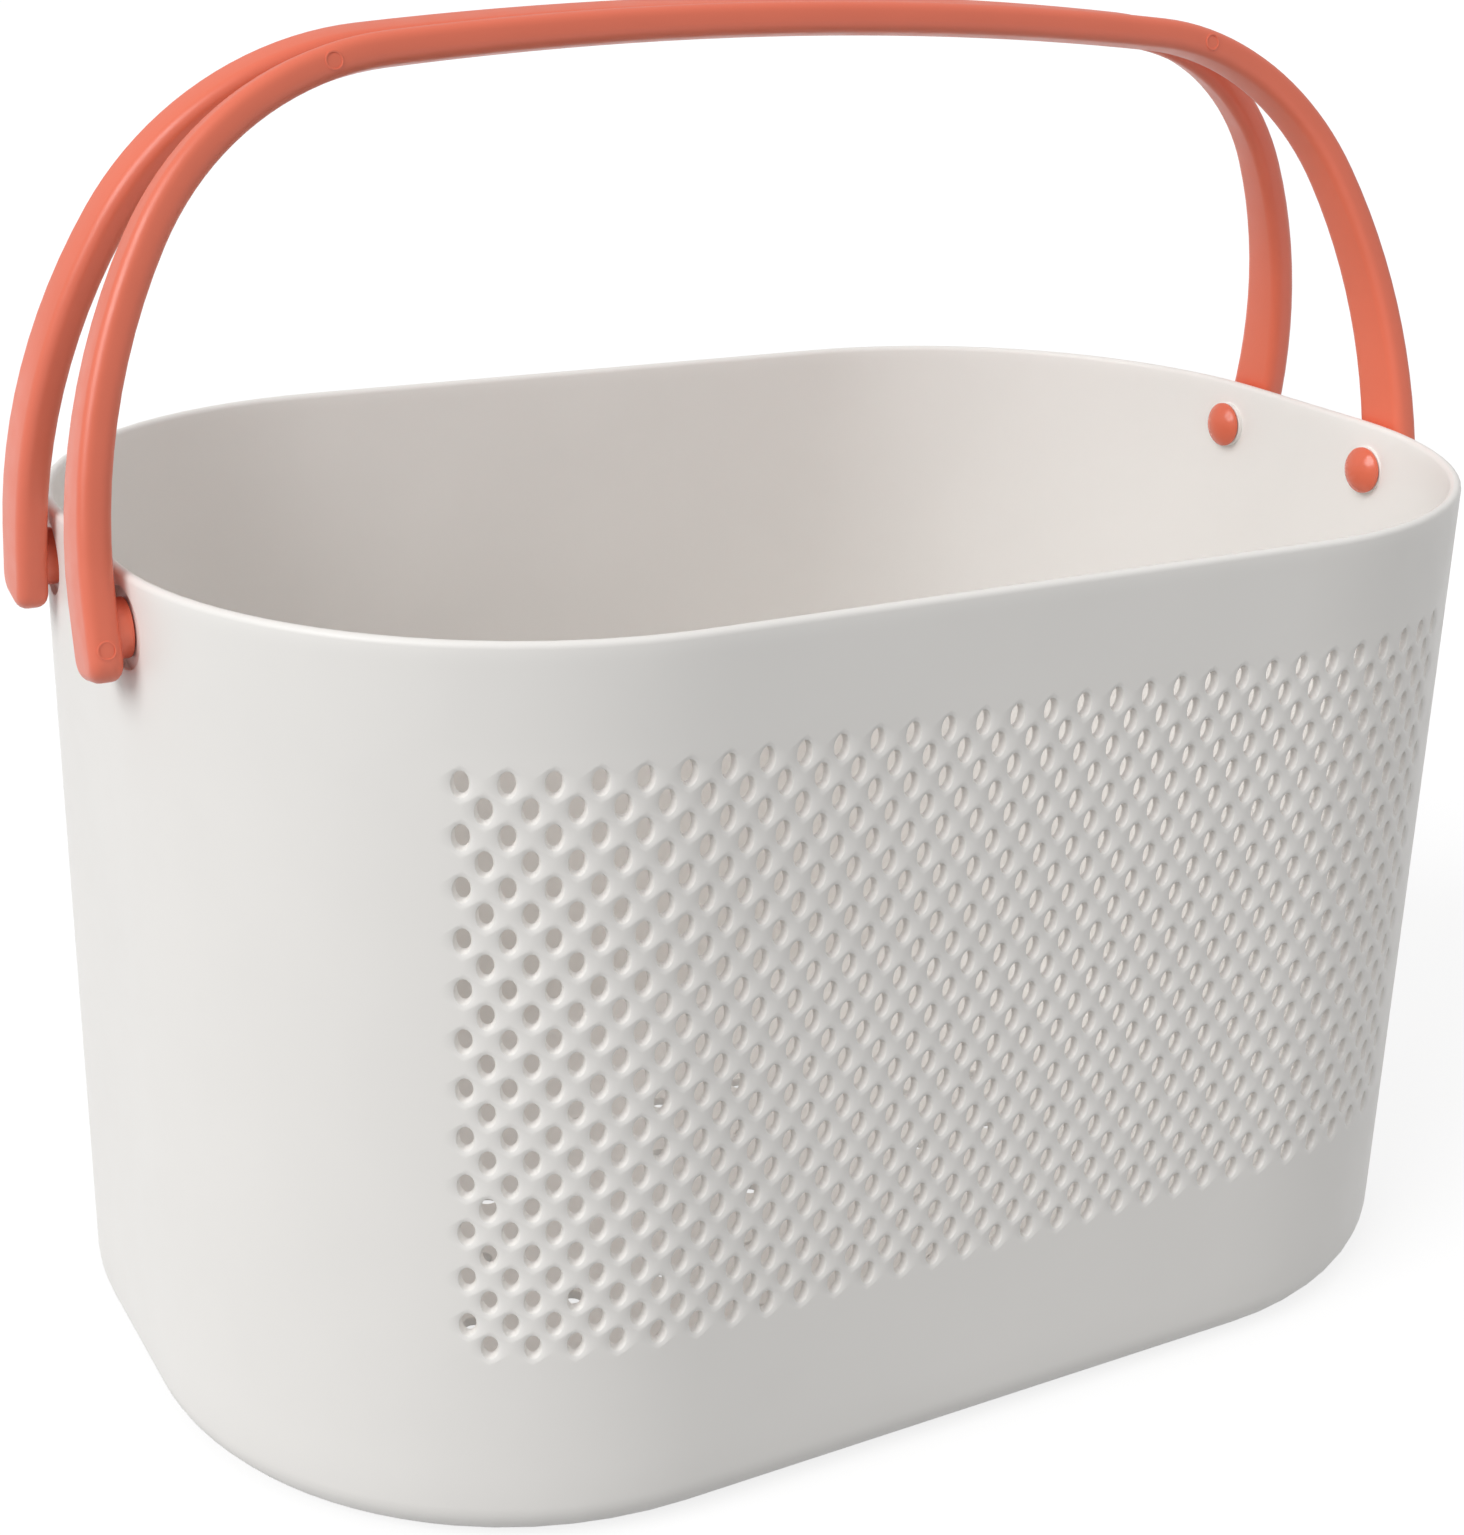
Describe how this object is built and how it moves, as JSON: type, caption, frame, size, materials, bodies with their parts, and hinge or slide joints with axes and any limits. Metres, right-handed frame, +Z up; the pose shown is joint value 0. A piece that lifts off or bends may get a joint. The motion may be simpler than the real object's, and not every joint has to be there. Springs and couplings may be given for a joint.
{
  "type": "shower caddy",
  "caption": "Rounded perforated bathroom basket with a staggered slot panel on its front and two carry bows that swing on push-in pins.",
  "frame": {"origin": "middle of the flat underside, on the surface the basket stands on", "axes": "+Z up, X left to right along the basket's length, -Y towards the perforated front"},
  "size_m": [0.3226, 0.205, 0.2848],
  "materials": {
    "white_plastic": "satin moulded polypropylene",
    "coral_plastic": "satin moulded polypropylene",
    "coral_pin": "smooth moulded plastic"
  },
  "bodies": {
    "basket": {"basket": "white_plastic"},
    "front_handle": {"front_handle": "coral_plastic", "front_left_pin": "coral_pin", "front_right_pin": "coral_pin"},
    "back_handle": {"back_handle": "coral_plastic", "back_left_pin": "coral_pin", "back_right_pin": "coral_pin"}
  },
  "joints": [
    {"name": "front_handle_swing", "type": "hinge", "parent": "basket", "child": "front_handle", "pos_m": [0, -0.026, 0.176], "axis": [1, 0, 0], "range_deg": [0, 137]},
    {"name": "back_handle_swing", "type": "hinge", "parent": "basket", "child": "back_handle", "pos_m": [0, 0.026, 0.176], "axis": [-1, 0, 0], "range_deg": [0, 137]}
  ]
}
